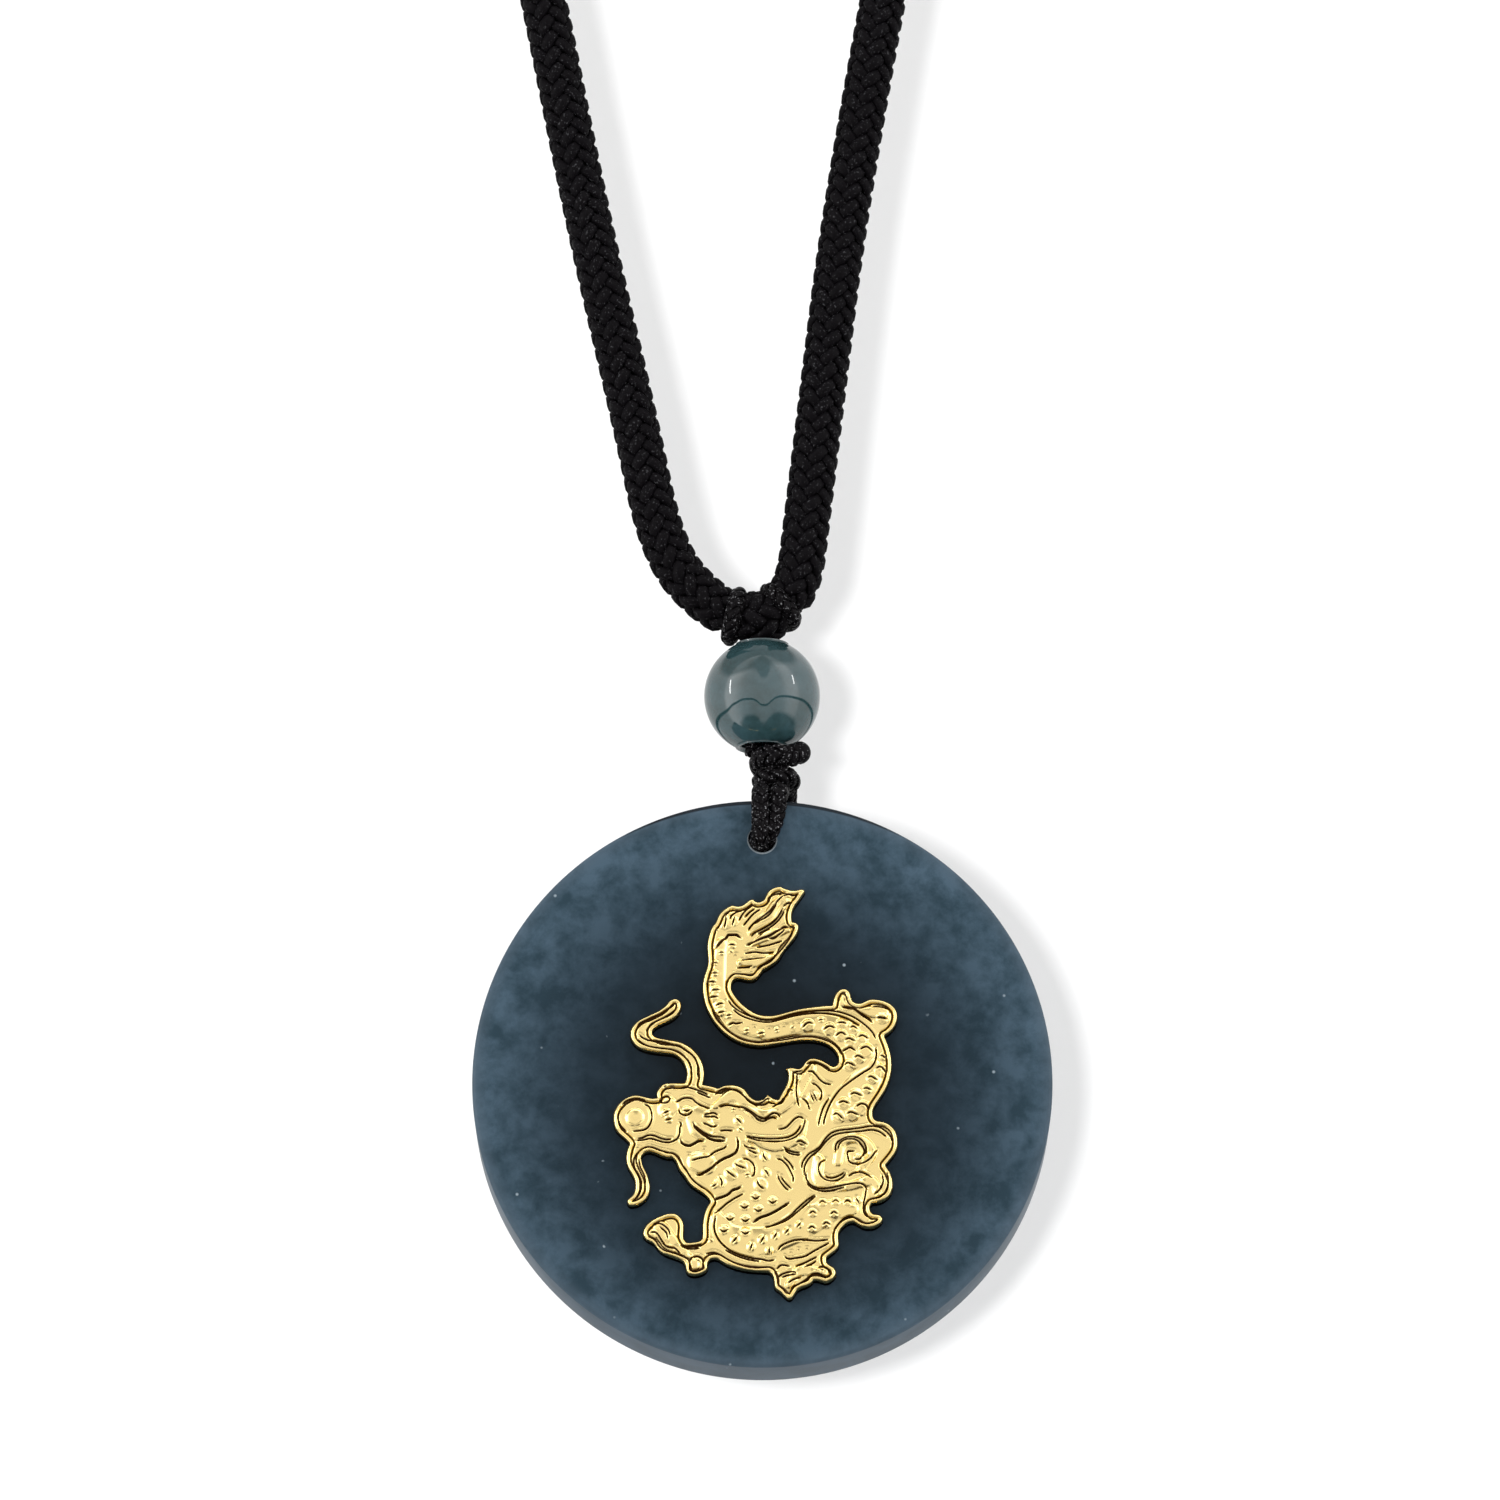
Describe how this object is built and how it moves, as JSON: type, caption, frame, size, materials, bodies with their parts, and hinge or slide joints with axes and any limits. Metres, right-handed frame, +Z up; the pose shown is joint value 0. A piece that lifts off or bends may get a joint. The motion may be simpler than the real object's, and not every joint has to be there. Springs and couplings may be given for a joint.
{
  "type": "jade dragon pendant necklace",
  "caption": "Round jade disc with a raised gold dragon, hung from a jade bead and a knotted thin cord on a braided neck cord loop.",
  "frame": {"origin": "underside of the barrel at the nape, where the back of the neck carries the necklace", "axes": "+Z up along the hanging necklace, -Y out of the dragon's face, +X to the viewer's right"},
  "size_m": [0.0893, 0.0082, 0.3305],
  "materials": {
    "neck_cord": "round braided polyester cord, black, slight sheen",
    "thin_cord": "waxed fine braid, black, small glints",
    "barrel": "plain satin black",
    "bead_jade": "glossy polished grey-green jade",
    "disc_jade": "satin polished dark blue-green jade, cloudy",
    "gold": "bright yellow gold, cast relief, dark in its grooves"
  },
  "bodies": {
    "necklace": {"neck_cord": "neck_cord", "nape_barrel": "barrel", "hitch": "thin_cord", "bead": "bead_jade", "disc_loop": "thin_cord"},
    "pendant": {"jade_disc": "disc_jade", "dragon": "gold"}
  },
  "joints": [
    {"name": "disc_sway", "type": "hinge", "parent": "necklace", "child": "pendant", "pos_m": [0, 0, -0.2877], "axis": [0, 1, 0], "range_deg": [-15, 15]}
  ]
}
